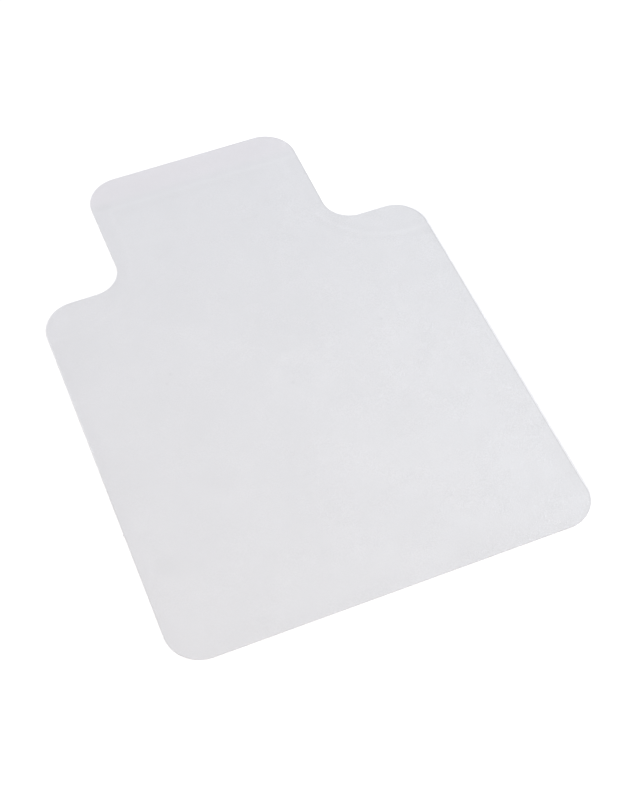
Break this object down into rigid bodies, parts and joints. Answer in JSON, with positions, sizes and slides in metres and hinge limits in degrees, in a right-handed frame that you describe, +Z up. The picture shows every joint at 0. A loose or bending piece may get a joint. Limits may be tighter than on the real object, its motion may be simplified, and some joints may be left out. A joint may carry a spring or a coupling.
{
  "type": "chair mat",
  "caption": "Flat frosted vinyl chair mat for a hard floor: a rounded rectangular sheet with a narrower centred lip that reaches under a desk.",
  "frame": {"origin": "on the floor, under the middle of the mat's overall length and overall width", "axes": "+Y along the mat towards the end of the lip, +X to the right for someone facing the desk, +Z up from the floor"},
  "size_m": [0.9, 1.25, 0.002],
  "materials": {
    "base_vinyl": "smooth semi-translucent frosted vinyl, slightly blue grey, with a die-cut edge",
    "embossed_vinyl": "semi-translucent frosted vinyl with a fine embossed pebble grain and a soft sheen"
  },
  "bodies": {
    "root": {"base_sheet": "base_vinyl", "wear_layer": "embossed_vinyl"}
  },
  "joints": []
}
